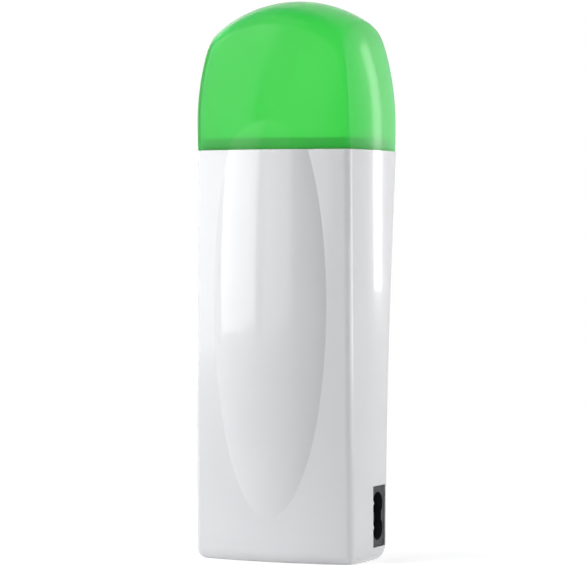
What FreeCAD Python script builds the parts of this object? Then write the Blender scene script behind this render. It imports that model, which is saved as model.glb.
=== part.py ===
import FreeCAD, Part
import math
import os
import Sketcher
from FreeCAD import Placement, Rotation, Vector

# A hand-held heater for roll-on wax cartridges, in millimetres.
# +Z is up, the decorated front faces -Y and the mains inlet faces +X.
# The origin is on the base, under the middle of the whole part.

doc = FreeCAD.newDocument("roll_on_wax_heater")
sheet = doc.addObject("Spreadsheet::Sheet", "size")

SIZES = {
    # Outline of the housing, which the cap continues upward
    "seam_height": 144.0,         # base to the line where the cap meets the housing
    "half_width": 30.8,           # middle to either flank at the seam
    "front_reach": 25.0,          # origin to the front face at the seam
    "back_reach": 28.0,           # origin to the back face at the seam
    "face_radius": 120.0,         # bow of the front and back faces, seen from above
    "flank_radius": 135.0,        # bow of the flanks, seen from above
    "flank_middle": 5.8,          # how far the fullest line of a flank lies before the origin
    "front_lean": 1.0,            # how much the front face draws in towards the base
    "back_flare": 13.6,           # how much the back face draws in towards the base
    "flank_lean": 0.4,            # how much the flanks spread towards the base
    "corner_radius": 3.0,         # upright corners and the lower edge of the flanks
    "least_corner": 0.6,          # the same corners on a form set far in
    "front_foot_radius": 4.0,     # lower edge of the front
    "back_foot_radius": 7.0,      # lower edge of the back
    "shell_wall": 2.0,
    # Raised leaf shape on the front
    "leaf_height": 94.6,          # height of its fullest place
    "leaf_back": 16.1,            # how far its middle lies before the origin
    "leaf_half_width": 26.0,
    "leaf_half_length": 105.9,
    "leaf_depth": 12.0,
    "leaf_foot": 10.0,            # height at which it ends inside the front wall
    "leaf_fade": 21.0,            # half length of its rounded end on the cap
    # Joint between the two housing halves
    "parting_inset": 3.047,       # back corners to the parting line
    "tongue_wall": 1.0,
    "tongue_reach": 2.0,
    "fit_clearance": 0.15,        # shells to the tongue and the skirt, cap to the collar
    "tongue_top": 50.0,
    # Cap
    "cap_inset": 0.3,             # step from the housing in to the cap
    "cap_wall": 1.6,
    "cap_middle": 10.0,           # height over the seam where the cap starts to draw in
    "roof_radius": 43.2,          # bow of the roof, seen from the front
    "crown_radius": 45.0,         # bow of the roof, seen from the side
    "roof_edge_radius": 10.0,
    "cap_flank_radius": 106.0,    # bow of the cap's flanks, seen from the front
    # Holder that the wax cartridge stands in
    "collar_height": 4.0,         # how far the collar stands up inside the cap
    "collar_wall": 1.6,
    "deck_thickness": 1.8,
    "skirt_depth": 9.0,
    "bead_height": 1.2,
    "bead_reach": 0.9,
    "bead_drop": 6.0,             # seam to the top of the bead
    "bead_clearance": 0.15,
    "well_side": 4.6,             # flank to the well's side, inside
    "well_ahead": 2.74,           # front face beside the well to the well's front, inside
    "well_behind": 5.5,           # back face at the base to the well's back, inside
    "well_floor": 55.0,           # height of the floor that the cartridge stands on
    "well_wall": 1.2,
    "well_corner": 8.8,
    "mouth_chamfer": 0.8,
    # Heater, from the well outward
    "heater_drop": 37.0,          # seam down to the heater's middle
    "window_side": 11.2,          # well's side to the window
    "window_height": 38.0,
    "window_corner": 2.0,
    "window_clearance": 0.2,
    "plate_margin": 2.5,          # flange of the heater plate round the window
    "plate_flange": 0.8,
    "plate_corner": 3.0,
    "film_thickness": 0.2,
    "film_margin": 1.0,
    "electrode_thickness": 0.3,
    "electrode_margin": 1.25,     # window to the electrode, all round
    "electrode_corner": 1.0,
    "tab_width": 4.0,
    "tab_length": 7.0,
    "tab_overlap": 2.0,
    "tab_corner": 0.8,
    "tab_inset": 5.5,             # electrode's side to the middle of its tab
    "tab_weld": 1.5,              # tab's end to the lead joined to it
    "ceramic_margin": 1.5,        # electrode to the ceramics, all round
    "ceramic_thickness": 2.0,
    "ceramic_gap": 3.0,
    "ceramic_corner": 0.5,
    "clamp_thickness": 0.8,
    "clamp_margin": 1.0,          # window to the edge of the clamp plate
    "ear_width": 9.0,
    "ear_corner": 4.4,
    "ear_inset": 5.2,             # well's side to a clamp screw
    "clamp_boss_radius": 2.6,
    "clamp_screw_radius": 1.2,
    "clamp_screw_length": 3.6,
    "clamp_head_radius": 2.2,
    "clamp_head_height": 1.3,
    # Thermal fuse under the heater
    "fuse_drop": 28.5,            # heater's middle down to the fuse
    "fuse_radius": 2.0,
    "fuse_length": 10.0,
    "fuse_wire_radius": 0.5,
    "fuse_wire_length": 4.0,
    "sleeve_clearance": 0.1,
    "sleeve_wall": 0.5,
    "sleeve_length": 16.0,
    # Mains inlet, a two-pin figure-of-eight appliance inlet
    "inlet_flank_gap": 0.3,       # flange to the inside of the flank
    "inlet_height": 15.6,
    "inlet_width": 11.0,
    "inlet_tall": 21.2,
    "inlet_clearance": 0.15,
    "inlet_recess": 0.6,          # flank to the inlet's face
    "inlet_depth": 17.0,
    "inlet_corner": 0.8,
    "inlet_flange": 1.2,
    "inlet_flange_margin": 0.8,
    "inlet_flange_corner": 2.4,
    "socket_depth": 12.5,
    "lobe_radius": 4.2,
    "waist_width": 5.8,
    "pin_spacing": 8.6,
    "pin_radius": 1.2,
    "pin_setback": 1.6,           # inlet's face to the tips of the pins
    "pin_nose": 0.84,
    "pin_shoulder": 0.4,          # how far the shoulder in the socket's floor stands out
    "shoulder_length": 3.0,
    "pin_tail": 6.0,
    "tail_radius": 1.0,
    "barrel_wall": 0.5,
    "barrel_length": 7.0,
    "barrel_clearance": 0.05,
    "barrel_overlap": 1.0,        # how far a barrel reaches from its pin over the lead
    # Leads between the inlet, the fuse and the heater
    "lead_radius": 0.8,
    "lead_clearance": 0.4,        # well to the leads that run up behind it
    "lead_bend": 6.0,             # straight run before a lead's first bend
    "lead_aside": 7.0,            # upper screw's middle to the lead that passes it
    "lead_swing": 4.8,            # electrode's tab to the lead's outer bend
    # Screws that hold the rear cover
    "screw_side": 11.8,           # flank to the upper screws
    "upper_screw_height": 43.0,
    "lower_screw_height": 12.0,
    "lower_screw_side": 12.0,     # how far the lower screw lies to the left of the middle
    "screw_recess": 5.1,          # back face at the base to the screw's seat
    "screw_radius": 1.45,
    "screw_clearance": 0.05,
    "screw_length": 11.0,
    "pilot_room": 0.4,            # tip of a screw to the end of its hole
    "head_radius": 2.8,
    "head_height": 2.0,
    "head_clearance": 0.4,
    "cup_wall": 1.4,
    "cup_floor": 1.6,
    "boss_radius": 3.2,
    "bulkhead_wall": 1.4,
    "bulkhead_side": 18.0,
    "bulkhead_top": 30.0,
    # Shapes that are only cut with
    "past": 1.0,                  # how far a cutting shape passes the face it opens
    "slab_margin": 4.0,           # block that the bowed walls are cut from, beyond the part
}

for row, (alias, number) in enumerate(SIZES.items(), start=1):
    sheet.set("A%d" % row, alias.replace("_", " "))
    sheet.set("B%d" % row, str(number))
    sheet.setAlias("B%d" % row, alias)
doc.recompute()

ROOM = 40.0          # how far the ring that cuts a bowed wall reaches past the part
SWEEP = 60.0         # angle of that ring
NEAR = 1e-3          # two heights or places this close are the same
FLANK_TURN = 0.75    # least sideways lean of a face that counts as part of a flank
BEND_SHARE = 0.45    # share of a lead's run that the bend at either end takes
TURN = {
    "Y": Rotation(Vector(1, 0, 0), -90),
    "X": Rotation(Vector(0, 1, 0), 90),
}

# Proportions of a screw head, of its own radius or height
CROWN_SHARE = 0.55
RIM_SHARE = 0.35
CROSS_REACH = 0.6
CROSS_WIDTH = 0.14
CROSS_DEPTH = 0.6


def value(expression):
    """The number, in millimetres, that an expression on the sheet gives now."""
    result = sheet.evalExpression(str(expression))
    return float(getattr(result, "Value", result))


def bind(feature, **expressions):
    for name, expression in expressions.items():
        feature.setExpression(name.replace("__", "."), expression)
    return feature


# ---------------------------------------------------------------- sketches

def new_body(name):
    return doc.addObject("PartDesign::Body", name)


def new_sketch(body, name, plane, offset=None):
    sketch = body.newObject("Sketcher::SketchObject", name)
    support = next(f for f in body.Origin.OriginFeatures if f.Role == plane + "_Plane")
    sketch.AttachmentSupport = (support, [""])
    sketch.MapMode = "FlatFace"
    for axis, expression in (offset or {}).items():
        sketch.setExpression("AttachmentOffset.Base." + axis, expression)
    return sketch


def hold(sketch, kind, geometry, point, expression):
    """Fix one coordinate of a point, or a radius, by an expression."""
    number = value(expression)
    if kind == "Radius":
        index = sketch.addConstraint(Sketcher.Constraint(kind, geometry, number))
    else:
        index = sketch.addConstraint(Sketcher.Constraint(kind, -1, 1, geometry, point, number))
    sketch.setExpression("Constraints[%d]" % index, expression)


def hold_point(sketch, geometry, point, across, up):
    hold(sketch, "DistanceX", geometry, point, across)
    hold(sketch, "DistanceY", geometry, point, up)


def arc_between(start, end, centre):
    """The shorter arc from start to end, and which of its ends is the start."""
    first = math.atan2(start.y - centre.y, start.x - centre.x)
    last = math.atan2(end.y - centre.y, end.x - centre.x)
    circle = Part.Circle(centre, Vector(0, 0, 1), start.distanceToPoint(centre))
    if (last - first) % (2 * math.pi) < math.pi:
        return Part.ArcOfCircle(circle, first, last), 1, 2
    return Part.ArcOfCircle(circle, last, first), 2, 1


def outline(body, name, plane, corners, offset=None):
    """A closed outline of straight edges. A corner is (across, up) or (across, up, radius)."""
    sketch = new_sketch(body, name, plane, offset)
    count = len(corners)
    points = [Vector(value(c[0]), value(c[1])) for c in corners]
    radii = [value(c[2]) if len(c) > 2 else 0.0 for c in corners]
    before = []
    after = []
    for i, point in enumerate(points):
        back = (points[i - 1] - point).normalize()
        ahead = (points[(i + 1) % count] - point).normalize()
        reach = radii[i] / math.tan(back.getAngle(ahead) / 2) if radii[i] else 0.0
        before.append(point + back * reach)
        after.append(point + ahead * reach)
    lines = []
    for i in range(count):
        edge = Part.LineSegment(after[i], before[(i + 1) % count])
        lines.append(sketch.addGeometry(edge, False))
    for i, corner in enumerate(corners):
        if not radii[i]:
            sketch.addConstraint(Sketcher.Constraint("Coincident", lines[i - 1], 2, lines[i], 1))
            hold_point(sketch, lines[i], 1, corner[0], corner[1])
            continue
        back = (before[i] - points[i]).normalize()
        ahead = (after[i] - points[i]).normalize()
        middle = (back + ahead).normalize()
        centre = points[i] + middle * (radii[i] / math.sin(back.getAngle(ahead) / 2))
        arc, start, end = arc_between(before[i], after[i], centre)
        round_edge = sketch.addGeometry(arc, False)
        mark = sketch.addGeometry(Part.Point(points[i]), True)
        hold_point(sketch, mark, 1, corner[0], corner[1])
        sketch.addConstraint([
            Sketcher.Constraint("PointOnObject", mark, 1, lines[i - 1]),
            Sketcher.Constraint("PointOnObject", mark, 1, lines[i]),
            Sketcher.Constraint("Tangent", lines[i - 1], 2, round_edge, start),
            Sketcher.Constraint("Tangent", round_edge, end, lines[i], 1),
        ])
        hold(sketch, "Radius", round_edge, 0, corner[2])
    return sketch


def rectangle(body, name, plane, low, high, radius=None, offset=None):
    """A rectangle between two corners, its own corners rounded where a radius is given."""
    corners = [(low[0], low[1]), (high[0], low[1]), (high[0], high[1]), (low[0], high[1])]
    if radius:
        corners = [corner + (radius,) for corner in corners]
    return outline(body, name, plane, corners, offset)


def wall_ring(body, name, plane, offset, side, points, bends):
    """What a bowed wall leaves outside it, as a half section beside its upright axis.

    points go up the wall. bends gives, for a curved stretch, the height of its centre,
    which is where that stretch stands upright.
    """
    sketch = new_sketch(body, name, plane, offset)
    sign = "" if side > 0 else "-1 * "
    chain = [(sign + "(%s)" % across, up) for across, up in points]
    far = sign + "(%s + %s)" % (points[-1][0], ROOM)
    chain += [(far, points[-1][1]), (far, points[0][1])]
    spots = [Vector(value(across), value(up)) for across, up in chain]
    ends = []
    for i, start in enumerate(spots):
        end = spots[(i + 1) % len(spots)]
        if i not in bends:
            ends.append((sketch.addGeometry(Part.LineSegment(start, end), False), 1, 2))
            continue
        level = value(bends[i])
        rise = (start.y - level) ** 2 - (end.y - level) ** 2
        across = (start.x ** 2 - end.x ** 2 + rise) / (2 * (start.x - end.x))
        arc, first, last = arc_between(start, end, Vector(across, level))
        index = sketch.addGeometry(arc, False)
        ends.append((index, first, last))
    for i, (across, up) in enumerate(chain):
        edge, start, unused = ends[i]
        previous, unused, finish = ends[i - 1]
        sketch.addConstraint(Sketcher.Constraint("Coincident", previous, finish, edge, start))
        hold_point(sketch, edge, start, across, up)
        if i in bends:
            hold(sketch, "DistanceY", edge, 3, bends[i])
    return sketch


# ---------------------------------------------------------------- features

def pad(body, name, sketch, length, reverse=False, middle=False):
    feature = body.newObject("PartDesign::Pad", name)
    feature.Profile = sketch
    feature.Reversed = reverse
    feature.Midplane = middle
    return bind(feature, Length=length)


def pocket(body, name, sketch, length, reverse=False):
    feature = body.newObject("PartDesign::Pocket", name)
    feature.Profile = sketch
    feature.Reversed = reverse
    return bind(feature, Length=length)


def cut_wall(body, sketch):
    feature = body.newObject("PartDesign::Groove", sketch.Name + "_cut")
    feature.Profile = sketch
    feature.ReferenceAxis = (sketch, ["V_Axis"])
    feature.Angle = SWEEP
    feature.Midplane = True
    return feature


def round_edges(body, name, test, radius):
    """Round the edges of the body's present shape that pass the test."""
    doc.recompute()
    base = body.Tip
    names = ["Edge%d" % i for i, edge in enumerate(base.Shape.Edges, 1) if test(edge)]
    feature = body.newObject("PartDesign::Fillet", name)
    feature.Base = (base, names)
    return bind(feature, Radius=radius)


def middle_of(edge):
    return edge.valueAt((edge.FirstParameter + edge.LastParameter) / 2)


def flank_borders(shape, top):
    """A test for the edges that bound the two flanks, apart from those at the height top."""
    def on_flank(face):
        spot = face.CenterOfMass
        u, v = face.Surface.parameter(spot)
        return abs(face.normalAt(u, v).x) > FLANK_TURN

    counted = {}
    for face in shape.Faces:
        if on_flank(face):
            for edge in face.Edges:
                counted[edge.hashCode()] = counted.get(edge.hashCode(), 0) + 1

    def test(edge):
        level = abs(middle_of(edge).z - top) < NEAR
        return counted.get(edge.hashCode()) == 1 and not level
    return test


def cylinder(name, radius, length, place, along):
    piece = doc.addObject("Part::Cylinder", name)
    piece.Placement = Placement(Vector(), TURN[along])
    bind(piece, Radius=radius, Height=length)
    for axis, expression in zip("xyz", place):
        piece.setExpression("Placement.Base." + axis, str(expression))
    return piece


def block(name, low, extent):
    piece = doc.addObject("Part::Box", name)
    bind(piece, Length=extent[0], Width=extent[1], Height=extent[2])
    for axis, expression in zip("xyz", low):
        piece.setExpression("Placement.Base." + axis, str(expression))
    return piece


def cut(name, base, *tools):
    """The base less each tool in turn; the last step bears the name."""
    steps = ["%s_step_%d" % (name, i) for i in range(1, len(tools))] + [name]
    for step, tool in zip(steps, tools):
        feature = doc.addObject("Part::Cut", step)
        feature.Base = base
        feature.Tool = tool
        base = feature
    return base


def common(name, *pieces):
    feature = doc.addObject("Part::MultiCommon", name)
    feature.Shapes = list(pieces)
    return feature


def fuse(name, *pieces):
    feature = doc.addObject("Part::MultiFuse", name)
    feature.Shapes = list(pieces)
    return feature


def rounded(name, source, radius, chosen):
    """The source with the chosen edges rounded."""
    doc.recompute()
    piece = doc.addObject("Part::Fillet", name)
    piece.Base = source
    bend = value(radius)
    piece.Edges = [(i, bend, bend) for i, edge in enumerate(source.Shape.Edges, 1) if chosen(edge)]
    return piece


def group(name, *pieces):
    feature = doc.addObject("Part::Compound", name)
    feature.Links = list(pieces)
    return feature


# ---------------------------------------------------------------- outer forms

FRONT_AXIS = {"x": "size.face_radius - size.front_reach"}
BACK_AXIS = {"x": "size.back_reach - size.face_radius"}
RIGHT_AXIS = {"x": "size.half_width - size.flank_radius", "z": "size.flank_middle"}
LEFT_AXIS = {"x": "size.flank_radius - size.half_width", "z": "size.flank_middle"}


def set_in_corner(inset):
    """Radius of the upright corners on a form whose walls are moved in by inset."""
    return "max(size.corner_radius - (%s); size.least_corner)" % inset


def slab(body, low, high):
    """A plain block wider than the part, which the bowed walls are cut from."""
    across = "(size.half_width + size.slab_margin)"
    deep = "(size.back_reach + size.slab_margin)"
    sketch = rectangle(body, body.Name + "_slab_outline", "XY",
                       ("-1 * " + across, "-1 * " + deep), (across, deep), offset={"z": low})
    pad(body, body.Name + "_slab", sketch, "(%s) - (%s)" % (high, low))


def housing_form(name, inset, floor):
    """The solid form of the housing, every wall moved in by inset, standing on floor."""
    body = new_body(name)
    slab(body, floor, "size.seam_height")
    top = "size.seam_height"
    face = "size.face_radius - %s" % inset
    flank = "size.flank_radius - %s" % inset
    front = [(face + " - size.front_lean", "0"), (face, top)]
    back = [(face + " - size.back_flare", "0"), (face, top)]
    side = [(flank + " + size.flank_lean", "0"), (flank, top)]
    cut_wall(body, wall_ring(body, name + "_front", "YZ", FRONT_AXIS, -1, front, {}))
    cut_wall(body, wall_ring(body, name + "_back", "YZ", BACK_AXIS, 1, back, {0: "0"}))
    cut_wall(body, wall_ring(body, name + "_right", "XZ", RIGHT_AXIS, 1, side, {}))
    cut_wall(body, wall_ring(body, name + "_left", "XZ", LEFT_AXIS, -1, side, {}))
    low = value(floor)

    def foot(sign):
        def test(edge):
            spot = middle_of(edge)
            return abs(spot.z - low) < NEAR and abs(spot.x) < 1.0 and spot.y * sign > 0
        return test

    round_edges(body, name + "_front_foot", foot(-1), "size.front_foot_radius - %s" % inset)
    round_edges(body, name + "_back_foot", foot(1), "size.back_foot_radius - %s" % inset)
    doc.recompute()
    borders = flank_borders(body.Tip.Shape, value(top))
    round_edges(body, name + "_corners", borders, set_in_corner(inset))
    leaf = body.newObject("PartDesign::AdditiveEllipsoid", name + "_leaf")
    place_leaf(leaf, inset, "size.leaf_height")
    bind(leaf,
         Radius1="size.leaf_half_length - %s" % inset,
         Angle1="-1 * asin((size.leaf_height - size.leaf_foot) / (size.leaf_half_length - %s))" % inset,
         Angle2="asin((size.seam_height - size.leaf_height) / (size.leaf_half_length - %s))" % inset)
    return body


def place_leaf(leaf, inset, height, shrink="1"):
    """Seat the leaf's ellipsoid before the origin, its length upright."""
    body = leaf.getParentGeoFeatureGroup()
    plane = next(f for f in body.Origin.OriginFeatures if f.Role == "XY_Plane")
    leaf.AttachmentSupport = (plane, [""])
    leaf.MapMode = "FlatFace"
    bind(leaf,
         AttachmentOffset__Base__y="-1 * size.leaf_back",
         AttachmentOffset__Base__z=height,
         Radius2="(size.leaf_half_width - %s) * %s" % (inset, shrink),
         Radius3="(size.leaf_depth - %s) * %s" % (inset, shrink))


def cap_form(name, inset):
    """The solid form of the cap, every wall moved in by inset, cut off flat at the seam."""
    body = new_body(name)
    middle = "(size.seam_height + size.cap_middle)"
    sketch = new_sketch(body, name + "_section", "YZ", {"y": middle})
    dome = value("size.face_radius - %s" % inset)
    edge = value("size.roof_edge_radius - %s" % inset)
    crown = value("size.crown_radius - %s" % inset)
    sag = "(size.face_radius - sqrt(size.face_radius ^ 2 - size.cap_middle ^ 2))"
    front_centre = "size.face_radius - size.front_reach - %s" % sag
    back_centre = "size.back_reach - size.face_radius + %s" % sag
    crown_place = ("(%s + %s) / 2" % (front_centre, back_centre),
                   "size.roof_radius - size.crown_radius")
    crown_centre = Vector(value(crown_place[0]), value(crown_place[1]))

    def half(sign, centre):
        """Bow and roof edge of one face; their points run from the axis to the crown."""
        middle_point = Vector(value(centre), 0)
        between = crown_centre - middle_point
        span = between.Length
        along = ((dome - edge) ** 2 - (crown - edge) ** 2 + span ** 2) / (2 * span)
        aside = math.sqrt((dome - edge) ** 2 - along ** 2)
        between.normalize()
        square = Vector(-between.y, between.x)
        if square.x * sign < 0:
            square = square * -1
        edge_centre = middle_point + between * along + square * aside
        meet = middle_point + (edge_centre - middle_point) * (dome / (dome - edge))
        shoulder = crown_centre + (edge_centre - crown_centre) * (crown / (crown - edge))
        foot = Vector(middle_point.x + sign * dome, 0)
        bow, bow_foot, bow_end = arc_between(foot, meet, middle_point)
        bend, bend_start, bend_end = arc_between(meet, shoulder, edge_centre)
        bow = sketch.addGeometry(bow, False)
        bend = sketch.addGeometry(bend, False)
        sketch.addConstraint([
            Sketcher.Constraint("PointOnObject", bow, 3, -1),
            Sketcher.Constraint("PointOnObject", bow, bow_foot, -1),
            Sketcher.Constraint("Tangent", bow, bow_end, bend, bend_start),
        ])
        hold(sketch, "DistanceX", bow, 3, centre)
        hold(sketch, "Radius", bow, 0, "size.face_radius - %s" % inset)
        hold(sketch, "Radius", bend, 0, "size.roof_edge_radius - %s" % inset)
        return (bow, bow_foot, foot), (bend, bend_end, shoulder)

    front_foot, front_shoulder = half(-1, front_centre)
    back_foot, back_shoulder = half(1, back_centre)
    roof, roof_front, roof_back = arc_between(front_shoulder[2], back_shoulder[2], crown_centre)
    roof = sketch.addGeometry(roof, False)
    axis = sketch.addGeometry(Part.LineSegment(front_foot[2], back_foot[2]), False)
    sketch.addConstraint([
        Sketcher.Constraint("Tangent", front_shoulder[0], front_shoulder[1], roof, roof_front),
        Sketcher.Constraint("Tangent", back_shoulder[0], back_shoulder[1], roof, roof_back),
        Sketcher.Constraint("Coincident", front_foot[0], front_foot[1], axis, 1),
        Sketcher.Constraint("Coincident", back_foot[0], back_foot[1], axis, 2),
    ])
    hold_point(sketch, roof, 3, *crown_place)
    hold(sketch, "Radius", roof, 0, "size.crown_radius - %s" % inset)
    drum = body.newObject("PartDesign::Revolution", name + "_drum")
    drum.Profile = sketch
    drum.ReferenceAxis = (sketch, ["H_Axis"])
    drum.Angle = 360

    low = "size.seam_height - size.roof_radius"
    flank = "(size.flank_radius - %s)" % inset
    bow = "(size.cap_flank_radius - %s)" % inset
    peak = "(%s + size.roof_radius)" % middle
    draw = "(%s - sqrt(%s ^ 2 - size.roof_radius ^ 2))" % (bow, bow)
    side = [(flank, low), (flank, middle), ("%s - %s" % (flank, draw), peak)]
    cut_wall(body, wall_ring(body, name + "_right", "XZ", RIGHT_AXIS, 1, side, {1: middle}))
    cut_wall(body, wall_ring(body, name + "_left", "XZ", LEFT_AXIS, -1, side, {1: middle}))
    below = rectangle(body, name + "_below_outline", "XY",
                      ("-2 * size.half_width", "-2 * size.back_reach"),
                      ("2 * size.half_width", "2 * size.back_reach"),
                      offset={"z": "size.seam_height"})
    pocket(body, name + "_below", below, "2 * size.roof_radius")
    doc.recompute()
    borders = flank_borders(body.Tip.Shape, value("size.seam_height"))
    round_edges(body, name + "_corners", borders, set_in_corner(inset))
    add_fading_leaf(body, inset)
    return body


def add_fading_leaf(body, inset):
    """The leaf's rounded end above the seam, as wide and deep there as on the housing."""
    leaf = body.newObject("PartDesign::AdditiveEllipsoid", body.Name + "_leaf")
    rise = "((size.seam_height - size.leaf_height) / size.leaf_half_length)"
    place_leaf(leaf, inset, "size.seam_height", "sqrt(1 - %s ^ 2)" % rise)
    bind(leaf, Radius1="size.leaf_fade - %s" % inset)
    leaf.Angle1 = 0


def level_form(name, inset, low, high):
    """An upright block with the housing's outline at the seam, moved in by inset."""
    body = new_body(name)
    slab(body, low, high)
    face = "size.face_radius - (%s)" % inset
    flank = "size.flank_radius - (%s)" % inset
    cut_wall(body, wall_ring(body, name + "_front", "YZ", FRONT_AXIS, -1,
                             [(face, low), (face, high)], {}))
    cut_wall(body, wall_ring(body, name + "_back", "YZ", BACK_AXIS, 1,
                             [(face, low), (face, high)], {}))
    cut_wall(body, wall_ring(body, name + "_right", "XZ", RIGHT_AXIS, 1,
                             [(flank, low), (flank, high)], {}))
    cut_wall(body, wall_ring(body, name + "_left", "XZ", LEFT_AXIS, -1,
                             [(flank, low), (flank, high)], {}))
    bottom = value(low)
    top = value(high)

    def upright(edge):
        ends = sorted(vertex.Point.z for vertex in edge.Vertexes)
        return abs(ends[0] - bottom) < NEAR and abs(ends[-1] - top) < NEAR

    round_edges(body, name + "_corners", upright, set_in_corner(inset))
    return body


# ---------------------------------------------------------------- places worked out once

def at_back(height, side):
    """How far the inside of the back wall lies behind the origin, at a height and a side."""
    flare = "size.back_flare * (1 - (%s) ^ 2 / size.seam_height ^ 2)" % height
    bow = "(%s) ^ 2 / (2 * size.face_radius)" % side
    return "(size.back_reach - %s - %s - size.shell_wall)" % (flare, bow)


BASE_BACK = "(size.back_reach - size.back_flare)"
SEAM = "size.seam_height"
WELL_HALF = "(size.half_width - size.well_side)"
WELL_FRONT = "(size.front_reach - size.well_ahead - %s ^ 2 / (2 * size.face_radius))" % WELL_HALF
WELL_BACK = "(%s - size.well_behind)" % BASE_BACK
WELL_FLOOR = "size.well_floor"
WELL_BACK_FACE = "(%s + size.well_wall)" % WELL_BACK
HEATER_MIDDLE = "(%s - size.heater_drop)" % SEAM
WINDOW_WIDTH = "(2 * (%s - size.window_side))" % WELL_HALF
ELECTRODE_WIDTH = "(%s - 2 * size.electrode_margin)" % WINDOW_WIDTH
ELECTRODE_HEIGHT = "(size.window_height - 2 * size.electrode_margin)"
CERAMIC_HEIGHT = "(%s / 2 - size.ceramic_margin - size.ceramic_gap / 2)" % ELECTRODE_HEIGHT
TAB_OFFSET = "(%s / 2 - size.tab_inset)" % ELECTRODE_WIDTH
EAR_REACH = "(%s - size.ear_inset)" % WELL_HALF
PLATE_FACE = "(%s + size.plate_flange)" % WELL_BACK_FACE
FRONT_ELECTRODE = "(%s + size.film_thickness)" % PLATE_FACE
CERAMIC = "(%s + size.electrode_thickness)" % FRONT_ELECTRODE
REAR_ELECTRODE = "(%s + size.ceramic_thickness)" % CERAMIC
REAR_FILM = "(%s + size.electrode_thickness)" % REAR_ELECTRODE
CLAMP = "(%s + size.film_thickness)" % REAR_FILM
CLAMP_FACE = "(%s + size.clamp_thickness)" % CLAMP
SCREW_SEAT = "(%s - size.screw_recess)" % BASE_BACK
CUP_END = "(%s - size.cup_floor)" % SCREW_SEAT
SLEEVE_BORE = "(size.fuse_radius + size.sleeve_clearance)"
SLEEVE_RADIUS = "(%s + size.sleeve_wall)" % SLEEVE_BORE
FUSE_DEPTH = "(%s + %s)" % (WELL_BACK_FACE, SLEEVE_RADIUS)
FUSE_HEIGHT = "(%s - size.fuse_drop)" % HEATER_MIDDLE
CORNER_BOW = "(size.half_width ^ 2 / (2 * size.face_radius))"
PARTING_AT_BASE = "(%s - %s - size.parting_inset)" % (BASE_BACK, CORNER_BOW)
PARTING_AT_SEAM = "(size.back_reach - %s - size.parting_inset)" % CORNER_BOW
INLET_MIDDLE = "(%s - size.inlet_clearance - size.inlet_width / 2)" % PARTING_AT_BASE
INLET_FACE = "(size.half_width - size.inlet_recess)"
INLET_REAR = "(%s - size.inlet_depth)" % INLET_FACE
PIN_TIP = "(%s - size.pin_setback)" % INLET_FACE
PIN_END = "(%s - size.pin_tail)" % INLET_REAR
SOCKET_FLOOR = "(%s - size.socket_depth)" % INLET_FACE
SHOULDER_START = "(%s - size.shoulder_length)" % SOCKET_FLOOR
SCREW_SPREAD = "(size.half_width - size.screw_side)"
SHELL_INSIDE = "(size.half_width - size.shell_wall)"

SCREW_PLACES = {
    "left": ("-1 * " + SCREW_SPREAD, "size.upper_screw_height"),
    "right": (SCREW_SPREAD, "size.upper_screw_height"),
    "lower": ("-1 * size.lower_screw_side", "size.lower_screw_height"),
}


def screw(name, head_radius, head_height, radius, length, place):
    """A pan-head screw with a cross recess, its head towards +Y and its seat at the place."""
    body = new_body(name)
    sketch = outline(body, name + "_profile", "YZ", [
        ("-1 * (%s)" % length, "0"),
        (head_height, "0"),
        (head_height, "%s * %s" % (head_radius, CROWN_SHARE)),
        ("%s * %s" % (head_height, RIM_SHARE), head_radius),
        ("0", head_radius),
        ("0", radius),
        ("%s - (%s)" % (radius, length), radius),
    ])
    turned = body.newObject("PartDesign::Revolution", name + "_turned")
    turned.Profile = sketch
    turned.ReferenceAxis = (sketch, ["H_Axis"])
    turned.Angle = 360
    arm = "%s * %s" % (head_radius, CROSS_REACH)
    slot = "%s * %s" % (head_radius, CROSS_WIDTH)
    cross = outline(body, name + "_cross", "XZ", [
        (arm, "-1 * " + slot), (arm, slot), (slot, slot), (slot, arm), ("-1 * " + slot, arm),
        ("-1 * " + slot, slot), ("-1 * " + arm, slot), ("-1 * " + arm, "-1 * " + slot),
        ("-1 * " + slot, "-1 * " + slot), ("-1 * " + slot, "-1 * " + arm),
        (slot, "-1 * " + arm), (slot, "-1 * " + slot),
    ], {"z": "-1 * %s" % head_height})
    pocket(body, name + "_recess", cross, "%s * %s" % (head_height, CROSS_DEPTH), reverse=True)
    for axis, expression in zip("xyz", place):
        body.setExpression("Placement.Base." + axis, expression)
    return body


# ---------------------------------------------------------------- housing

FIT_INSET = "(size.shell_wall + size.fit_clearance)"
LINED_INSET = "(%s + size.tongue_wall)" % FIT_INSET
COLLAR_INSET = "(size.cap_inset + size.cap_wall + size.fit_clearance)"


def parting_zone():
    """Everything behind the parting line, which follows the flare of the back face."""
    body = new_body("behind_parting")
    line = [(PARTING_AT_BASE, "0"), (PARTING_AT_SEAM, SEAM)]
    sketch = wall_ring(body, "parting_outline", "YZ", None, 1, line, {0: "0"})
    pad(body, "parting_block", sketch, "4 * size.half_width", middle=True)
    return body


def moved(name, source, axis, distance):
    """The same solid, set over along one axis."""
    piece = doc.addObject("Part::Compound", name)
    piece.Links = [source]
    piece.setExpression("Placement.Base." + axis, distance)
    return piece


def inlet_block(name, clearance, face, depth):
    """The block of room that the inlet's body takes, grown by a clearance."""
    return block(name,
                 ("%s - %s" % (face, depth),
                  "%s - size.inlet_width / 2 - (%s)" % (INLET_MIDDLE, clearance),
                  "size.inlet_height - size.inlet_tall / 2 - (%s)" % clearance),
                 (depth,
                  "size.inlet_width + 2 * (%s)" % clearance,
                  "size.inlet_tall + 2 * (%s)" % clearance))


def level_slice(name, form, low, high):
    """The part of a form between two heights."""
    far = "(2 * size.half_width)"
    box = block(name + "_range", ("-1 * " + far, "-1 * " + far, low),
                ("2 * " + far, "2 * " + far, "(%s) - (%s)" % (high, low)))
    return common(name, form, box)


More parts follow.
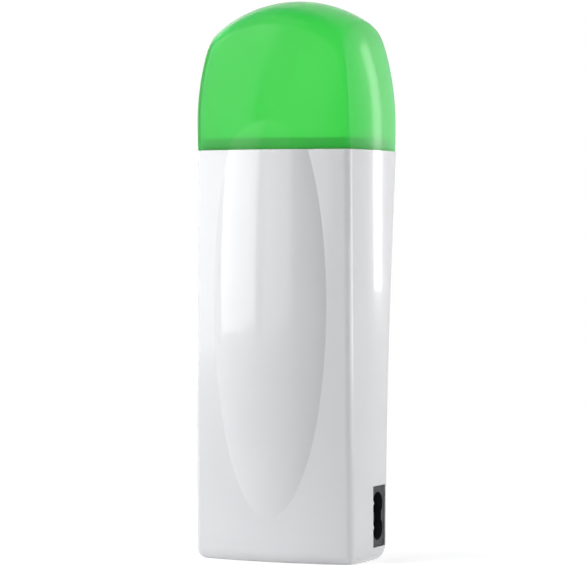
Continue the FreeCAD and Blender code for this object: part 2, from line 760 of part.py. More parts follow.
def make_housing(fitted, lined):
    outer = housing_form("housing_outside", "0", "0")
    inner = housing_form("housing_inside", "size.shell_wall", "size.shell_wall")
    behind = parting_zone()
    bead_room = "(size.shell_wall - size.bead_reach)"
    room_form = housing_form("bead_groove_form", bead_room, bead_room)
    groove = level_slice("bead_groove", room_form,
                         "%s - size.bead_drop - size.bead_height - size.bead_clearance" % SEAM,
                         "%s - size.bead_drop + size.bead_clearance" % SEAM)
    walls = cut("housing_walls", outer, inner, groove)

    front = cut("front_walls", walls, behind)
    aperture = inlet_block("inlet_aperture", "size.inlet_clearance",
                           "(size.half_width + size.past)", "(size.past + 3 * size.shell_wall)")
    aperture_back = moved("aperture_to_parting", aperture, "y", "size.past")
    bosses = []
    pilots = []
    cups = []
    bores = []
    for side, (across, up) in SCREW_PLACES.items():
        start = "(size.front_lean + size.shell_wall / 2 - size.front_reach + (%s) ^ 2" \
                " / (2 * size.face_radius))" % across
        bosses.append(cylinder("boss_" + side, "size.boss_radius",
                               "%s - %s" % (CUP_END, start), (across, start, up), "Y"))
        depth = "size.screw_length - size.cup_floor + size.pilot_room"
        pilots.append(cylinder("pilot_" + side, "size.screw_radius + size.screw_clearance",
                               depth, (across, "%s - (%s)" % (CUP_END, depth), up), "Y"))
        wall_middle = "%s + size.shell_wall / 2" % at_back(up, across)
        cup = "size.head_radius + size.head_clearance + size.cup_wall"
        cups.append(cylinder("cup_" + side, cup, "%s - %s" % (wall_middle, CUP_END),
                             (across, CUP_END, up), "Y"))
        bores.append(cylinder("head_bore_" + side, "size.head_radius + size.head_clearance",
                              "size.back_reach", (across, SCREW_SEAT, up), "Y"))
        bores.append(cylinder("shank_bore_" + side, "size.screw_radius + 2 * size.screw_clearance",
                              "4 * size.cup_floor",
                              (across, "%s - 2 * size.cup_floor" % CUP_END, up), "Y"))
    bulkhead_box = block("bulkhead_box",
                         ("size.bulkhead_side", "-1 * size.front_reach", "0"),
                         ("size.bulkhead_wall",
                          "size.front_reach + %s - size.tongue_reach" % PARTING_AT_BASE,
                          "size.bulkhead_top"))
    bulkhead = common("bulkhead", bulkhead_box, inner)
    seat = inlet_block("bulkhead_seat", "size.inlet_clearance", INLET_FACE,
                       "(2 * size.inlet_depth)")
    cradle = cut("inlet_cradle", bulkhead, seat)
    filled = fuse("front_filled", front, cradle, *bosses)
    front_shell = cut("front_shell", filled, aperture, aperture_back, *pilots)

    rear_wall = common("rear_wall", walls, behind)
    ahead = moved("tongue_zone", behind, "y", "-1 * size.tongue_reach")
    beyond = moved("past_root", behind, "y", "size.tongue_reach")
    lining = level_slice("lining", cut("lining_ring", fitted, lined), "0", "size.tongue_top")
    root = level_slice("root", cut("root_ring", room_form, lined), "0", "size.tongue_top")
    strip = cut("tongue_strip", common("tongue_band", lining, ahead), behind)
    root_strip = cut("root_strip", common("root_band", root, behind), beyond)
    tongue = fuse("tongue", strip, root_strip)
    gap = inlet_block("tongue_gap", "size.inlet_flange_margin + size.past",
                      "(size.half_width + size.past)", "(size.past + 2 * size.inlet_depth)")
    tongue = cut("tongue_cleared", tongue, gap)
    cover = fuse("cover_filled", rear_wall, tongue, *cups)
    rear_cover = cut("rear_cover", cover, *bores)

    screws = []
    for side, (across, up) in SCREW_PLACES.items():
        screws.append(screw("case_screw_" + side, "size.head_radius", "size.head_height",
                            "size.screw_radius", "size.screw_length", (across, SCREW_SEAT, up)))
    return front_shell, rear_cover, group("case_screws", *screws)


def make_cap():
    return cut("cap", cap_form("cap_outside", "size.cap_inset"),
               cap_form("cap_inside", "(size.cap_inset + size.cap_wall)"))


# ---------------------------------------------------------------- cartridge holder and heater

def well_block(name, margin, low, high):
    """An upright block that follows the well, grown by a margin."""
    body = new_body(name)
    half = "%s + %s" % (WELL_HALF, margin)
    sketch = rectangle(body, name + "_outline", "XY",
                       ("-1 * (%s)" % half, "-1 * %s - %s" % (WELL_FRONT, margin)),
                       (half, "%s + %s" % (WELL_BACK, margin)),
                       "size.well_corner + %s" % margin, {"z": low})
    pad(body, name + "_pad", sketch, "(%s) - (%s)" % (high, low))
    return body


def upright_plate(name, depth, thickness, width, height, radius, across="0", up="0"):
    """A plate that stands behind the well, its front at the depth; Y is its thickness."""
    body = new_body(name)
    add_plate(body, name, depth, thickness, width, height, radius, across, up)
    return body


def add_plate(body, name, depth, thickness, width, height, radius, across="0", up="0"):
    middle = "%s + %s" % (HEATER_MIDDLE, up)
    sketch = rectangle(body, name + "_outline", "XZ",
                       ("%s - (%s) / 2" % (across, width), "%s - (%s) / 2" % (middle, height)),
                       ("%s + (%s) / 2" % (across, width), "%s + (%s) / 2" % (middle, height)),
                       radius, {"z": "-1 * %s" % depth})
    pad(body, name + "_pad", sketch, thickness, reverse=True)
    return body


def make_holder(fitted, lined):
    top = "%s + size.collar_height" % SEAM
    form = level_form("collar_form", COLLAR_INSET, SEAM, top)
    add_fading_leaf(form, COLLAR_INSET)
    collar = level_slice("collar_outside", form, SEAM, top)
    hollow = level_form("collar_inside", "%s + size.collar_wall" % COLLAR_INSET, SEAM,
                        "%s - size.deck_thickness" % top)
    skirt = level_slice("skirt_outside", fitted, "%s - size.skirt_depth" % SEAM, SEAM)
    bead_inset = "(size.shell_wall - size.bead_reach + size.bead_clearance)"
    bead = level_slice("bead", housing_form("bead_form", bead_inset, bead_inset),
                       "%s - size.bead_drop - size.bead_height" % SEAM,
                       "%s - size.bead_drop" % SEAM)
    ring = cut("collar_ring", fuse("collar_and_skirt", collar, skirt, bead), hollow, lined)
    tube = well_block("well_outside", "size.well_wall", "%s - size.well_wall" % WELL_FLOOR,
                      "%s - size.deck_thickness / 2" % top)
    bosses = []
    pilots = []
    for side, sign in (("left", "-1"), ("right", "1")):
        across = "%s * %s" % (sign, EAR_REACH)
        bosses.append(cylinder("clamp_boss_" + side, "size.clamp_boss_radius",
                               "%s - %s + size.well_wall / 2" % (CLAMP, WELL_BACK_FACE),
                               (across, "%s - size.well_wall / 2" % WELL_BACK_FACE,
                                HEATER_MIDDLE), "Y"))
        depth = "size.clamp_screw_length - size.clamp_thickness + size.pilot_room"
        pilots.append(cylinder("clamp_pilot_" + side,
                               "size.clamp_screw_radius + size.screw_clearance", depth,
                               (across, "%s - (%s)" % (CLAMP, depth), HEATER_MIDDLE), "Y"))
    filled = fuse("holder_filled", ring, tube, *bosses)
    bore = well_block("well_inside", "0", WELL_FLOOR, "%s + size.past" % top)
    window = upright_plate("window", "(%s - size.past)" % WELL_BACK,
                           "size.well_wall + 2 * size.past",
                           WINDOW_WIDTH, "size.window_height", "size.window_corner")
    mouth = doc.addObject("Part::Chamfer", "cartridge_holder")
    holder = cut("holder_cut", filled, bore, window, *pilots)
    doc.recompute()
    level = value(top)
    side = value(WELL_HALF)
    back = value(WELL_BACK)
    front = value(WELL_FRONT)
    chamfer = value("size.mouth_chamfer")
    mouth_edges = []
    for i, edge in enumerate(holder.Shape.Edges, 1):
        box = edge.BoundBox
        across = max(box.XMax, -box.XMin) < side + NEAR
        along = box.YMax < back + NEAR and box.YMin > -front - NEAR
        if box.ZMin > level - NEAR and across and along:
            mouth_edges.append((i, chamfer, chamfer))
    mouth.Base = holder
    mouth.Edges = mouth_edges
    return mouth


def make_heater():
    plate = upright_plate("heater_plate", WELL_BACK, "size.well_wall",
                          "%s - 2 * size.window_clearance" % WINDOW_WIDTH,
                          "size.window_height - 2 * size.window_clearance",
                          "size.window_corner")
    add_plate(plate, "heater_flange", WELL_BACK_FACE, "size.plate_flange",
              "%s + 2 * size.plate_margin" % WINDOW_WIDTH,
              "size.window_height + 2 * size.plate_margin", "size.plate_corner")
    film_size = ("%s + 2 * size.film_margin" % ELECTRODE_WIDTH,
                 "%s + 2 * size.film_margin" % ELECTRODE_HEIGHT, "size.window_corner")
    film_front = upright_plate("film_front", PLATE_FACE, "size.film_thickness", *film_size)
    film_rear = upright_plate("film_rear", REAR_FILM, "size.film_thickness", *film_size)
    electrodes = []
    for name, depth, sign in (("electrode_front", FRONT_ELECTRODE, "1"),
                              ("electrode_rear", REAR_ELECTRODE, "-1")):
        sheet_body = upright_plate(name, depth, "size.electrode_thickness",
                                   ELECTRODE_WIDTH, ELECTRODE_HEIGHT, "size.electrode_corner")
        drop = "(size.tab_overlap - %s - size.tab_length) / 2" % ELECTRODE_HEIGHT
        add_plate(sheet_body, name + "_tab", depth, "size.electrode_thickness", "size.tab_width",
                  "size.tab_length + size.tab_overlap", "size.tab_corner",
                  "%s * %s" % (sign, TAB_OFFSET), drop)
        electrodes.append(sheet_body)
    ceramics = []
    rise = "(%s + size.ceramic_gap) / 2" % CERAMIC_HEIGHT
    for name, sign in (("ceramic_upper", "1"), ("ceramic_lower", "-1")):
        ceramics.append(upright_plate(name, CERAMIC, "size.ceramic_thickness",
                                      "%s - 2 * size.ceramic_margin" % ELECTRODE_WIDTH,
                                      CERAMIC_HEIGHT, "size.ceramic_corner",
                                      up="%s * %s" % (sign, rise)))
    clamp = upright_plate("clamp_plate", CLAMP, "size.clamp_thickness",
                          "%s + 2 * size.clamp_margin" % WINDOW_WIDTH,
                          "size.window_height + 2 * size.clamp_margin", "size.window_corner")
    add_plate(clamp, "clamp_ears", CLAMP, "size.clamp_thickness",
              "2 * %s + size.ear_width" % EAR_REACH, "size.ear_width",
              "size.ear_corner")
    for side, sign in (("left", "-1"), ("right", "1")):
        sketch = new_sketch(clamp, "ear_hole_" + side, "XZ", {"z": "-1 * %s" % CLAMP_FACE})
        radius = "size.clamp_screw_radius + 3 * size.screw_clearance"
        across = "%s * %s" % (sign, EAR_REACH)
        circle = Part.Circle(Vector(value(across), value(HEATER_MIDDLE)), Vector(0, 0, 1),
                             value(radius))
        hole = sketch.addGeometry(circle, False)
        hold_point(sketch, hole, 3, across, HEATER_MIDDLE)
        hold(sketch, "Radius", hole, 0, radius)
        pocket(clamp, "ear_bore_" + side, sketch, "2 * size.clamp_thickness", reverse=True)
    screws = []
    for side, sign in (("left", "-1"), ("right", "1")):
        screws.append(screw("clamp_screw_" + side, "size.clamp_head_radius",
                            "size.clamp_head_height", "size.clamp_screw_radius",
                            "size.clamp_screw_length",
                            ("%s * %s" % (sign, EAR_REACH), CLAMP_FACE, HEATER_MIDDLE)))
    return [plate, film_front, film_rear, clamp, group("clamp_screws", *screws)] \
        + electrodes + ceramics


def make_fuse():
    half = "size.fuse_length / 2"
    place = (FUSE_DEPTH, FUSE_HEIGHT)
    can = cylinder("fuse_can", "size.fuse_radius", "size.fuse_length",
                   ("-1 * " + half,) + place, "X")
    wire = cylinder("fuse_wire", "size.fuse_wire_radius",
                    "size.fuse_length + 2 * size.fuse_wire_length",
                    ("-1 * %s - size.fuse_wire_length" % half,) + place, "X")
    fuse_piece = fuse("thermal_fuse", can, wire)
    sleeve_place = ("-0.5 * size.sleeve_length",) + place
    sleeve = cut("fuse_sleeve",
                 cylinder("sleeve_outside", SLEEVE_RADIUS, "size.sleeve_length",
                          sleeve_place, "X"),
                 cylinder("sleeve_bore", SLEEVE_BORE, "size.sleeve_length", sleeve_place, "X"))
    return fuse_piece, sleeve


# ---------------------------------------------------------------- mains inlet

def make_inlet():
    face = value(INLET_FACE)
    body = rounded("inlet_rounded", inlet_block("inlet_body", "0", INLET_FACE, "size.inlet_depth"),
                   "size.inlet_corner", lambda edge: middle_of(edge).x < face - NEAR)
    bow = "(%s + size.flank_middle) ^ 2 / (2 * size.flank_radius)" % PARTING_AT_BASE
    flange_face = "(%s - size.inlet_flank_gap - %s)" % (SHELL_INSIDE, bow)
    flange = rounded("inlet_flange_rounded",
                     inlet_block("inlet_flange", "size.inlet_flange_margin", flange_face,
                                 "size.inlet_flange"),
                     "size.inlet_flange_corner", lambda edge: edge.BoundBox.XLength > NEAR)
    tip = value(PIN_TIP)
    tools = []
    pins = []
    barrels = []
    for name, sign in (("live", "1"), ("neutral", "-1")):
        up = "size.inlet_height + %s * size.pin_spacing / 2" % sign
        middle = (INLET_MIDDLE, up)
        tools.append(cylinder("lobe_" + name, "size.lobe_radius", "size.socket_depth + size.past",
                              (SOCKET_FLOOR,) + middle, "X"))
        bore = "%s - size.past" % INLET_REAR
        shoulder = "size.pin_radius + size.pin_shoulder"
        tools.append(cylinder("pin_bore_" + name, "size.tail_radius",
                              "%s - (%s)" % (SHOULDER_START, bore), (bore,) + middle, "X"))
        tools.append(cylinder("shoulder_bore_" + name, shoulder,
                              "size.shoulder_length + size.past",
                              (SHOULDER_START,) + middle, "X"))
        shaft = fuse("pin_shaft_" + name,
                     cylinder("pin_tail_" + name, "size.tail_radius",
                              "%s - %s" % (SOCKET_FLOOR, PIN_END), (PIN_END,) + middle, "X"),
                     cylinder("pin_shoulder_" + name, shoulder, "size.shoulder_length",
                              (SHOULDER_START,) + middle, "X"),
                     cylinder("pin_front_" + name, "size.pin_radius",
                              "%s - %s" % (PIN_TIP, SOCKET_FLOOR), (SOCKET_FLOOR,) + middle, "X"))
        pins.append(rounded("inlet_pin_" + name, shaft, "size.pin_nose",
                            lambda edge: edge.BoundBox.XMin > tip - NEAR))
        bore = "size.tail_radius + size.barrel_clearance"
        start = "%s - size.barrel_overlap" % PIN_END
        barrels.append(cut("crimp_barrel_" + name,
                           cylinder("barrel_outside_" + name, "%s + size.barrel_wall" % bore,
                                    "size.barrel_length", (start,) + middle, "X"),
                           cylinder("barrel_bore_" + name, bore, "size.barrel_length",
                                    (start,) + middle, "X")))
    waist = block("socket_waist",
                  (SOCKET_FLOOR,
                   "%s - size.waist_width / 2" % INLET_MIDDLE,
                   "size.inlet_height - size.pin_spacing / 2"),
                  ("size.socket_depth + size.past", "size.waist_width", "size.pin_spacing"))
    housing = cut("inlet_housing", fuse("inlet_filled", body, flange), waist, *tools)
    return [housing] + pins + barrels


# ---------------------------------------------------------------- leads

def lead(name, route):
    """A round lead along straight runs joined by tangent arcs; the route is expressions."""
    points = [Vector(*(value(number) for number in point)) for point in route]
    edges = []
    start = points[0]
    for before, corner, after in zip(points, points[1:], points[2:]):
        back = before - corner
        ahead = after - corner
        turn = math.pi - back.getAngle(ahead)
        reach = BEND_SHARE * min(back.Length, ahead.Length)
        back.normalize()
        ahead.normalize()
        first = corner + back * reach
        last = corner + ahead * reach
        bisector = (back + ahead).normalize()
        radius = reach / math.tan(turn / 2)
        middle = corner + bisector * (radius / math.cos(turn / 2) - radius)
        edges.append(Part.LineSegment(start, first).toShape())
        edges.append(Part.Arc(first, middle, last).toShape())
        start = last
    edges.append(Part.LineSegment(start, points[-1]).toShape())
    path = Part.Wire(edges)
    circle = Part.makeCircle(value("size.lead_radius"), points[0], points[1] - points[0])
    solid = path.makePipeShell([Part.Wire(circle)], True, False)
    piece = doc.addObject("Part::Feature", name)
    piece.Shape = solid
    return piece


def make_leads():
    """The live lead runs to the fuse and on to the front electrode, the neutral to the rear.

    The bare numbers are free points that a lead passes on its way up behind the well.
    """
    def over_floor(rise):
        return "%s + (%s)" % (WELL_FLOOR, rise)

    live_height = "size.inlet_height + size.pin_spacing / 2"
    neutral_height = "size.inlet_height - size.pin_spacing / 2"
    bend = "%s - size.lead_bend" % PIN_END
    against_well = "(%s + size.lead_radius + size.lead_clearance)" % WELL_BACK_FACE
    aside = "-0.8 * " + WELL_HALF
    fuse_end = "(size.fuse_length / 2 + size.fuse_wire_length)"
    past_fuse = "-1 * (%s + size.lead_bend)" % fuse_end
    tab_height = "%s - %s / 2 - size.tab_length + size.tab_weld" % (HEATER_MIDDLE, ELECTRODE_HEIGHT)
    tab_edge = "(%s + size.tab_width / 2)" % TAB_OFFSET
    beside_tab = "%s + size.lead_swing" % tab_edge
    front_tab = "%s + size.electrode_thickness / 2" % FRONT_ELECTRODE
    rear_tab = "%s + size.electrode_thickness / 2" % REAR_ELECTRODE
    live = lead("lead_live", [
        (PIN_END, INLET_MIDDLE, live_height),
        (bend, INLET_MIDDLE, live_height),
        ("-4", "%s + 2" % INLET_MIDDLE, over_floor(-25)),
        ("-5", "%s - 2" % against_well, over_floor(-12)),
        ("-10", against_well, over_floor(1)),
        (past_fuse + " - 2", against_well, over_floor(12)),
        (past_fuse + " - 1.5", FUSE_DEPTH, FUSE_HEIGHT),
        ("-1 * " + fuse_end, FUSE_DEPTH, FUSE_HEIGHT),
    ])
    fused = lead("lead_fused", [
        (fuse_end, FUSE_DEPTH, FUSE_HEIGHT),
        (beside_tab, FUSE_DEPTH, FUSE_HEIGHT),
        (beside_tab, front_tab, tab_height),
        (tab_edge, front_tab, tab_height),
    ])
    neutral = lead("lead_neutral", [
        (PIN_END, INLET_MIDDLE, neutral_height),
        (bend, INLET_MIDDLE, neutral_height),
        ("-6", "%s + 1" % INLET_MIDDLE, over_floor(-35)),
        ("-9", "%s - 5" % against_well, over_floor(-23)),
        ("size.lead_aside - " + SCREW_SPREAD, "%s - 1.5" % against_well, over_floor(-10)),
        (aside + " + 2", against_well, over_floor(2)),
        (aside + " - 1", against_well, over_floor(13)),
        (aside, rear_tab, tab_height),
        ("-1 * " + tab_edge, rear_tab, tab_height),
    ])
    return live, fused, neutral


# ---------------------------------------------------------------- build, test and write

fitted_form = housing_form("fitted_form", FIT_INSET, FIT_INSET)
lined_form = housing_form("lined_form", LINED_INSET, LINED_INSET)
pieces = [*make_housing(fitted_form, lined_form), make_cap(),
          make_holder(fitted_form, lined_form), *make_heater(), *make_fuse(),
          *make_inlet(), *make_leads()]
for piece in pieces:
    piece.Label = piece.Name
doc.recompute()

for feature in doc.Objects:
    if "Invalid" in feature.State or "Error" in feature.State:
        raise RuntimeError("%s failed: %s" % (feature.Name, feature.State))
for piece in pieces:
    if piece.Shape.isNull() or not piece.Shape.isValid() or not piece.Shape.Solids:
        raise RuntimeError("%s has no valid solid" % piece.Name)

os.makedirs("parts", exist_ok=True)
for piece in pieces:
    piece.Shape.exportStep("parts/%s.step" % piece.Label)
    print("%-18s %d solid(s) %10.1f mm3" % (piece.Label, len(piece.Shape.Solids), piece.Shape.Volume))
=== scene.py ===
import math

import bpy
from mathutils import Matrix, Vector

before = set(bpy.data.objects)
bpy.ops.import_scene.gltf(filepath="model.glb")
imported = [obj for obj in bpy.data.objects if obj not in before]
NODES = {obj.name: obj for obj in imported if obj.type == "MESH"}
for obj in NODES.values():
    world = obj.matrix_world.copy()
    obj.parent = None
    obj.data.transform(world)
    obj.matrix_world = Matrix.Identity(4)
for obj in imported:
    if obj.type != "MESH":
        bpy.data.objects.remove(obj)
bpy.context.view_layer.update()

# A hand-held heater for roll-on wax cartridges: a white housing with a raised leaf on its
# front, a milky green cap and a mains inlet low on the right. Every CAD node is kept as it is
# and gets its material here. Lengths are in metres and powers in watts.

# The camera stands to the right of the front, where the photograph's stood. Azimuths run from
# the front towards the right.
CAMERA_AZIMUTH = math.radians(25.91)
CAMERA_DISTANCE = 1.117
CAMERA_HEIGHT = 0.1157
CAMERA_AIM = Vector((-0.0017, -0.0006, 0.0937))
CAMERA_NEAR = 0.05
FOCAL_LENGTH = 193.5       # millimetres
SENSOR_WIDTH = 36.0        # millimetres

BACKDROP_LEVEL = 1.0       # what the camera, a gloss or glass sees of the room: white
ROOM_LEVEL = 0.083         # what lights the object from the rest of the room

FLOOR_HALF = 6.0
FLOOR_COLOR = (0.86, 0.86, 0.86, 1.0)
FLOOR_ROUGHNESS = 0.9
FLOOR_GLOW = 0.5           # lifts the floor near the object up to white, but for the shadow
SHADOW_RADIUS = 0.12       # up to here the floor shows all of the shadow
PLAIN_RADIUS = 0.35        # from here on it is plain white

LAMP_AIM = Vector((0, 0, 0.1))
SOFTBOXES = [
    # name, azimuth in degrees, height, distance, (width, length), power
    ("left_softbox", -53, 0.5, 1.3, (1.1, 1.1), 11.1),
    ("left_rim_softbox", -92, 0.5, 1.3, (0.74, 1.1), 0.6),
    ("front_softbox", -14, 0.5, 1.3, (0.6, 1.1), 2.4),
    ("high_left_softbox", -52, 1.3, 1.0, (1.2, 1.0), 5.2),
    ("high_right_softbox", 110, 1.3, 1.0, (1.2, 1.0), 3.2),
    ("right_softbox", 114, 0.35, 1.3, (0.7, 1.2), 7.8),
    ("right_strip", 160, 0.29, 1.3, (0.15, 0.44), 0.78),
    ("back_softbox", 240, 0.5, 1.3, (0.8, 1.1), 4.5),
    ("low_softbox", 92, 0.06, 0.4, (0.35, 0.1), 0.15),
]

FINE_DEPTH = 0.00001       # height of orange peel, brushing and specks
SPARK_DEPTH = 0.00003      # height of a spark-eroded mould's texture
EVEN_SPREAD = 0.05         # how far the roughness of plastic and ceramic strays either way
ACROSS_X = (14.0, 1.0, 1.0)    # streaks fourteen times as long as they are wide
ACROSS_Z = (1.0, 1.0, 14.0)


# ---------------------------------------------------------------- node helpers

class Graph:
    """The node tree of a material or world, with short calls to add and join nodes."""

    def __init__(self, owner, output):
        owner.use_nodes = True
        self.owner = owner
        self.tree = owner.node_tree
        self.tree.nodes.clear()
        self.output = self.add(output)

    def add(self, kind, **settings):
        node = self.tree.nodes.new("ShaderNode" + kind)
        for name, setting in settings.items():
            setattr(node, name, setting)
        return node

    def join(self, source, target):
        self.tree.links.new(source, target)

    def light(self, kind, level):
        """A white Background or Emission of the given strength."""
        node = self.add(kind)
        node.inputs["Color"].default_value = (1.0, 1.0, 1.0, 1.0)
        node.inputs["Strength"].default_value = level
        return node.outputs[kind]

    def mixed(self, factor, first, second):
        """The first shader where the factor is 0, and the second where it is 1."""
        node = self.add("MixShader")
        self.join(factor, node.inputs["Fac"])
        self.join(first, node.inputs[1])
        self.join(second, node.inputs[2])
        return node.outputs["Shader"]

    def seen_directly(self):
        """1 for a ray from the camera, off a gloss or through glass, and 0 for one that lights."""
        path = self.add("LightPath").outputs
        seen = path["Is Camera Ray"]
        for kind in ("Is Glossy Ray", "Is Transmission Ray"):
            either = self.add("Math", operation="MAXIMUM")
            self.join(seen, either.inputs[0])
            self.join(path[kind], either.inputs[1])
            seen = either.outputs["Value"]
        return seen

    def show(self, shader):
        """Lead the shader to the output, and return the finished material or world."""
        self.join(shader, self.output.inputs["Surface"])
        return self.owner


class MaterialGraph(Graph):
    """A new material's node tree, with textures that lie in the object's own coordinates."""

    def __init__(self, name):
        super().__init__(bpy.data.materials.new(name), "OutputMaterial")
        self.place = self.add("TexCoord").outputs["Object"]

    def stretched(self, factors):
        """The object's coordinates, scaled apart along each axis."""
        mapping = self.add("Mapping")
        mapping.inputs["Scale"].default_value = factors
        self.join(self.place, mapping.inputs["Vector"])
        return mapping.outputs["Vector"]

    def noise(self, grain, detail=2.0, place=None):
        """Noise whose spots are about grain metres wide."""
        node = self.add("TexNoise")
        node.inputs["Scale"].default_value = 1.0 / grain
        node.inputs["Detail"].default_value = detail
        self.join(place or self.place, node.inputs["Vector"])
        return node.outputs["Fac"]

    def spread(self, value, start=0.0, end=1.0, low=0.0, high=1.0):
        """The value's run from start to end, spread from low to high."""
        node = self.add("MapRange")
        node.inputs["From Min"].default_value = start
        node.inputs["From Max"].default_value = end
        node.inputs["To Min"].default_value = low
        node.inputs["To Max"].default_value = high
        self.join(value, node.inputs["Value"])
        return node.outputs["Result"]

    def uneven(self, grain, low, high):
        """A roughness that drifts from low to high.

        A range that crosses 0.274 leaves lines like cracks in the denoised render, so each
        material's range stays on one side of it.
        """
        return self.spread(self.noise(grain), low=low, high=high)

    def two_tones(self, factor, low, low_color, high, high_color):
        """One colour up to the factor low, the other from high on, and a blend between."""
        node = self.add("ValToRGB")
        stops = ((low, low_color), (high, high_color))
        for element, (position, color) in zip(node.color_ramp.elements, stops):
            element.position = position
            element.color = (*color, 1.0)
        self.join(factor, node.inputs["Fac"])
        return node.outputs["Color"]

    def soft_edges(self, radius):
        """Normals that round each edge off."""
        node = self.add("Bevel", samples=4)
        node.inputs["Radius"].default_value = radius
        return node.outputs["Normal"]

    def bump(self, height, depth, strength, under):
        """Normals of a texture that is depth metres high, over the normals under it."""
        node = self.add("Bump")
        node.inputs["Distance"].default_value = depth
        node.inputs["Strength"].default_value = strength
        self.join(height, node.inputs["Height"])
        self.join(under, node.inputs["Normal"])
        return node.outputs["Normal"]

    def principled(self, **sockets):
        """The principled shader, given numbers, colours or other nodes' outputs."""
        shader = self.add("BsdfPrincipled")
        for name, setting in sockets.items():
            socket = shader.inputs[name.replace("_", " ")]
            if isinstance(setting, bpy.types.NodeSocket):
                self.join(setting, socket)
            else:
                socket.default_value = setting
        return shader.outputs["BSDF"]


def shade(color, factor):
    return tuple(min(1.0, channel * factor) for channel in color)


def paint(node, material):
    """Give the material to every slot of a CAD node."""
    slots = NODES[node].material_slots
    for slot in slots:
        slot.material = material
    if not slots:
        NODES[node].data.materials.append(material)


# ---------------------------------------------------------------- materials

def glossy_white():
    """Pearly white ABS: a hard gloss over a body that light enters a little."""
    g = MaterialGraph("glossy_white")
    tone = g.two_tones(g.noise(grain=0.035), 0.3, (0.775, 0.780, 0.800),
                       0.7, (0.795, 0.800, 0.820))
    normal = g.bump(g.noise(grain=0.0022, detail=3.0), FINE_DEPTH, strength=0.5,
                    under=g.soft_edges(0.0003))
    return g.show(g.principled(
        Base_Color=tone, Roughness=g.uneven(grain=0.012, low=0.15, high=0.2), IOR=1.5,
        Coat_Weight=0.5, Coat_Roughness=0.04, Normal=normal, Subsurface_Weight=0.1,
        Subsurface_Radius=(0.0012, 0.0012, 0.0011), Subsurface_Scale=1.0))


def milky_green():
    """Green translucent plastic, deeper where a ray runs further inside the wall."""
    g = MaterialGraph("milky_green")
    tone = g.two_tones(g.noise(grain=0.03), 0.3, (0.51, 0.80, 0.29), 0.7, (0.55, 0.83, 0.32))
    normal = g.bump(g.noise(grain=0.003), FINE_DEPTH, strength=0.4, under=g.soft_edges(0.003))
    inside = g.add("VolumeAbsorption")
    inside.inputs["Color"].default_value = (0.0, 1.0, 0.79, 1.0)
    inside.inputs["Density"].default_value = 600.0
    g.join(inside.outputs["Volume"], g.output.inputs["Volume"])
    return g.show(g.principled(
        Base_Color=tone, Roughness=g.uneven(grain=0.015, low=0.29, high=0.35), IOR=1.2,
        Transmission_Weight=1.0, Coat_Weight=0.3, Coat_Roughness=0.12, Normal=normal,
        Specular_IOR_Level=0.0))


def plain_plastic(name, color, roughness, ior=1.5):
    """Moulded plastic with the fine even spark texture of an inner part."""
    g = MaterialGraph(name)
    tone = g.two_tones(g.noise(grain=0.02), 0.3, shade(color, 0.96), 0.7, shade(color, 1.03))
    normal = g.bump(g.noise(grain=0.0009, detail=4.0), SPARK_DEPTH, strength=0.4,
                    under=g.soft_edges(0.0002))
    rough = g.uneven(grain=0.006, low=roughness - EVEN_SPREAD, high=roughness + EVEN_SPREAD)
    return g.show(g.principled(Base_Color=tone, Roughness=rough, IOR=ior, Normal=normal))


def brushed_metal(name, color, roughness, across=ACROSS_Z, metallic=1.0):
    """Rolled or drawn metal with faint streaks that run across one axis."""
    g = MaterialGraph(name)
    streaks = g.noise(grain=0.0006, detail=3.0, place=g.stretched(across))
    tone = g.two_tones(streaks, 0.25, shade(color, 0.86), 0.75, color)
    normal = g.bump(streaks, FINE_DEPTH, strength=0.35, under=g.soft_edges(0.00012))
    rough = g.uneven(grain=0.004, low=roughness - 0.06, high=roughness + 0.08)
    return g.show(g.principled(Base_Color=tone, Metallic=metallic, Normal=normal,
                               Roughness=rough))


def speckled(name, color, roughness, transmission=0.0):
    """Ceramic, polyimide film or silicone rubber: fine specks in an even tone."""
    g = MaterialGraph(name)
    tone = g.two_tones(g.noise(grain=0.0007, detail=5.0), 0.35, shade(color, 0.85),
                       0.65, shade(color, 1.06))
    normal = g.bump(g.noise(grain=0.0004, detail=3.0), FINE_DEPTH, strength=0.5,
                    under=g.soft_edges(0.0001))
    rough = g.uneven(grain=0.003, low=roughness - EVEN_SPREAD, high=roughness + EVEN_SPREAD)
    return g.show(g.principled(Base_Color=tone, Roughness=rough,
                               Transmission_Weight=transmission, Normal=normal))


FINISHES = [
    (glossy_white(), ("front_shell", "rear_cover")),
    (milky_green(), ("cap",)),
    (plain_plastic("holder_plastic", (0.74, 0.75, 0.76), 0.42), ("cartridge_holder",)),
    (plain_plastic("inlet_plastic", (0.012, 0.0135, 0.015), 0.45, ior=1.4),
     ("inlet_housing",)),
    (plain_plastic("lead_brown", (0.16, 0.06, 0.025), 0.45), ("lead_live", "lead_fused")),
    (plain_plastic("lead_blue", (0.02, 0.10, 0.42), 0.45), ("lead_neutral",)),
    (brushed_metal("zinc_screw", (0.62, 0.63, 0.65), 0.36), ("case_screws", "clamp_screws")),
    (brushed_metal("aluminium_plate", (0.74, 0.75, 0.76), 0.5, metallic=0.5),
     ("heater_plate",)),
    (brushed_metal("spring_sheet", (0.60, 0.61, 0.63), 0.36), ("clamp_plate",)),
    (brushed_metal("nickel_pin", (0.80, 0.79, 0.77), 0.42, ACROSS_X),
     ("inlet_pin_live", "inlet_pin_neutral")),
    (brushed_metal("contact_brass", (0.78, 0.56, 0.26), 0.36),
     ("electrode_front", "electrode_rear", "crimp_barrel_live", "crimp_barrel_neutral")),
    (brushed_metal("fuse_can", (0.66, 0.67, 0.68), 0.36, ACROSS_X), ("thermal_fuse",)),
    (speckled("polyimide_film", (0.72, 0.36, 0.05), 0.34, transmission=0.3),
     ("film_front", "film_rear")),
    (speckled("heater_ceramic", (0.34, 0.34, 0.36), 0.6), ("ceramic_upper", "ceramic_lower")),
    (speckled("sleeve_rubber", (0.70, 0.69, 0.66), 0.5), ("fuse_sleeve",)),
]
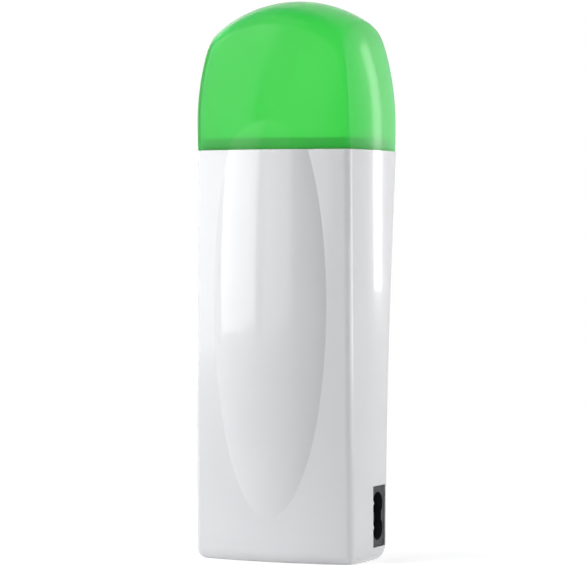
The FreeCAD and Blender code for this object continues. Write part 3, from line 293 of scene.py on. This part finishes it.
for finish, names in FINISHES:
    for node_name in names:
        paint(node_name, finish)


# ---------------------------------------------------------------- stage, light and camera

def make_world():
    """Plain white behind the object, and a soft grey light from the rest of the room."""
    g = Graph(bpy.data.worlds.new("studio"), "OutputWorld")
    lights = g.light("Background", ROOM_LEVEL)
    shows = g.light("Background", BACKDROP_LEVEL)
    bpy.context.scene.world = g.show(g.mixed(g.seen_directly(), lights, shows))


def make_floor():
    """A pale floor that keeps the object's shadow near it and is plain white further out."""
    mesh = bpy.data.meshes.new("floor")
    corners = [(-FLOOR_HALF, -FLOOR_HALF, 0), (FLOOR_HALF, -FLOOR_HALF, 0),
               (FLOOR_HALF, FLOOR_HALF, 0), (-FLOOR_HALF, FLOOR_HALF, 0)]
    mesh.from_pydata(corners, [], [(0, 1, 2, 3)])
    floor = bpy.data.objects.new("floor", mesh)
    bpy.context.scene.collection.objects.link(floor)
    g = MaterialGraph("floor_white")
    matt = g.principled(Base_Color=FLOOR_COLOR, Roughness=FLOOR_ROUGHNESS)
    near = g.add("AddShader")
    g.join(matt, near.inputs[0])
    g.join(g.light("Emission", FLOOR_GLOW), near.inputs[1])
    reach = g.add("VectorMath", operation="LENGTH")
    g.join(g.place, reach.inputs[0])
    outward = g.spread(reach.outputs["Value"], start=SHADOW_RADIUS, end=PLAIN_RADIUS)
    shows = g.mixed(outward, near.outputs["Shader"], g.light("Emission", BACKDROP_LEVEL))
    mesh.materials.append(g.show(g.mixed(g.seen_directly(), matt, shows)))


def add_softbox(name, azimuth, height, distance, size, watts):
    """An area light round the object, aimed at its middle and hidden from rays through glass."""
    lamp = bpy.data.lights.new(name, "AREA")
    lamp.shape = "RECTANGLE"
    lamp.size, lamp.size_y = size
    lamp.energy = watts
    turn = math.radians(azimuth)
    place = Vector((math.sin(turn), -math.cos(turn), 0.0)) * distance
    place.z = height
    holder = bpy.data.objects.new(name, lamp)
    holder.location = place
    holder.rotation_euler = (LAMP_AIM - place).to_track_quat("-Z", "Y").to_euler()
    holder.visible_transmission = False
    bpy.context.scene.collection.objects.link(holder)


def make_camera():
    data = bpy.data.cameras.new("camera")
    data.lens = FOCAL_LENGTH
    data.sensor_width = SENSOR_WIDTH
    data.clip_start = CAMERA_NEAR
    camera = bpy.data.objects.new("camera", data)
    camera.location = (math.sin(CAMERA_AZIMUTH) * CAMERA_DISTANCE,
                       -math.cos(CAMERA_AZIMUTH) * CAMERA_DISTANCE, CAMERA_HEIGHT)
    toward = CAMERA_AIM - camera.location
    camera.rotation_euler = toward.to_track_quat("-Z", "Y").to_euler()
    bpy.context.scene.collection.objects.link(camera)
    bpy.context.scene.camera = camera


make_world()
make_floor()
for softbox in SOFTBOXES:
    add_softbox(*softbox)
make_camera()
bpy.context.scene.view_settings.view_transform = "Standard"
